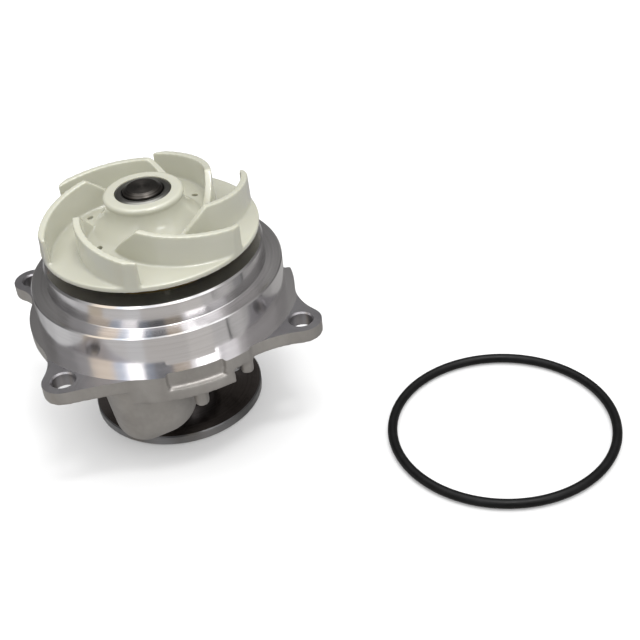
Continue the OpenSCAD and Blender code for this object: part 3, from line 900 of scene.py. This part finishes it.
def floor():
    """White paper, seen by the camera only, so that it throws no light back and has no reflection."""
    s = Surface("floor_paper", (0.73, 0.73, 0.73), 0.75)
    s.link(s.mix(s.vary(s.noise(60, 3), 0, 1), (0.72, 0.72, 0.72), (0.74, 0.74, 0.74)), "Base Color")
    s.put(Emission_Color=(1.0, 1.0, 1.0, 1.0), Emission_Strength=0.14)
    s.bump(s.noise(2, 2), 0.01)
    half, gap = 3000, 0.2
    corners = [(-half, -half, 0), (half, -half, 0), (half, half, 0), (-half, half, 0)]
    obj = mesh_object("floor", corners, [[0, 1, 2, 3]])
    obj.location.z = -gap * MM
    obj.data.materials.append(s.mat)
    obj.visible_glossy = obj.visible_diffuse = False


def area_light(name, at, size, power):
    """A white lamp that points at the impeller."""
    data = bpy.data.lights.new(name, "AREA")
    data.shape = "RECTANGLE"
    data.size, data.size_y = size
    data.energy = power
    obj = bpy.data.objects.new(name, data)
    bpy.context.scene.collection.objects.link(obj)
    obj.location = at
    obj.rotation_euler = (Vector(LAMP_TARGET) - Vector(at)).to_track_quat("-Z", "Y").to_euler()


def panel_ramp(tree, share, panels):
    """A ramp over the azimuth that holds each panel's colour, with soft edges between them."""
    ramp = tree.node("ValToRGB", {0: share})
    stops = []
    for (start, light, warm), (end, _, _) in zip(panels, panels[1:] + [(180, 0, 0)]):
        color = (light * (1 + 0.16 * warm), light, light * (1 - 0.22 * warm), 1.0)
        stops += [(start + PANEL_EDGE, color), (end - PANEL_EDGE, color)]
    points = ramp.color_ramp.elements
    while len(points) < len(stops):
        points.new(1.0)
    for point, (angle, color) in zip(points, stops):
        point.position = (angle + 180) / 360
        point.color = color
    return ramp.outputs[0]


def world():
    """White light all round, stronger from above; reflections see the panels and a ceiling instead."""
    studio = bpy.data.worlds.new("studio")
    studio.use_nodes = True
    tree = NodeTree(studio.node_tree)
    direction = tree.node("SeparateXYZ", {0: tree.node("TexCoord").outputs["Generated"]}).outputs
    height = direction["Z"]
    share = tree.remap(tree.math("ARCTAN2", direction["Y"], direction["X"]), -math.pi, math.pi, 0, 1)
    dim = tree.remap(height, DIM_FROM, DIM_TO, DIM_LOW, DIM_HIGH)
    upper = tree.node("VectorMath", {0: panel_ramp(tree, share, UPPER), "Scale": dim}, operation="SCALE")
    above = tree.remap(height, -HORIZON, HORIZON, 0, 1)
    around = tree.mix(above, panel_ramp(tree, share, LOWER), upper.outputs[0])
    overhead = tree.remap(height, CEILING_FROM, CEILING_TO, 0, 1)
    mirrored = tree.mix(overhead, around, (CEILING, CEILING, CEILING))
    light = tree.remap(height, 0, 1, SIDE_LIGHT, TOP_LIGHT)
    seen = tree.mix(tree.node("LightPath").outputs["Is Glossy Ray"], light, mirrored)
    tree.tree.links.new(seen, tree.tree.nodes["Background"].inputs["Color"])
    bpy.context.scene.world = studio


def lights():
    """The surroundings and three lamps, which give the impeller's highlights."""
    world()
    area_light("lamp_left", (0.15, -0.26, 1.1), (0.2, 0.2), 1.8)
    area_light("lamp_right", (0.30, -0.24, 1.1), (0.12, 0.12), 1.2)
    area_light("lamp_front", (0.636, -0.814, 0.70), (0.38, 0.16), 0.95)


def camera():
    """The photo's camera, as fitted to the pump's circles."""
    place, pitch, roll = (0.06415, -0.42488, 0.33155), 0.6160, -0.1010
    data = bpy.data.cameras.new("camera")
    data.sensor_width, data.lens = 36.0, 68.7375
    data.clip_start, data.clip_end = 0.01, 20.0
    obj = bpy.data.objects.new("camera", data)
    bpy.context.scene.collection.objects.link(obj)
    turn = Matrix.Rotation(math.pi / 2 - pitch, 4, "X") @ Matrix.Rotation(roll, 4, "Z")
    obj.matrix_world = Matrix.Translation(place) @ turn
    bpy.context.scene.camera = obj


camera()
lights()
floor()
housing()
impeller()
insert()
shaft()
drive_hub()
bearing_ring()
sealing_ring()
seal_bellows()
dress_kept_nodes()
bpy.context.scene.view_settings.view_transform = "Standard"
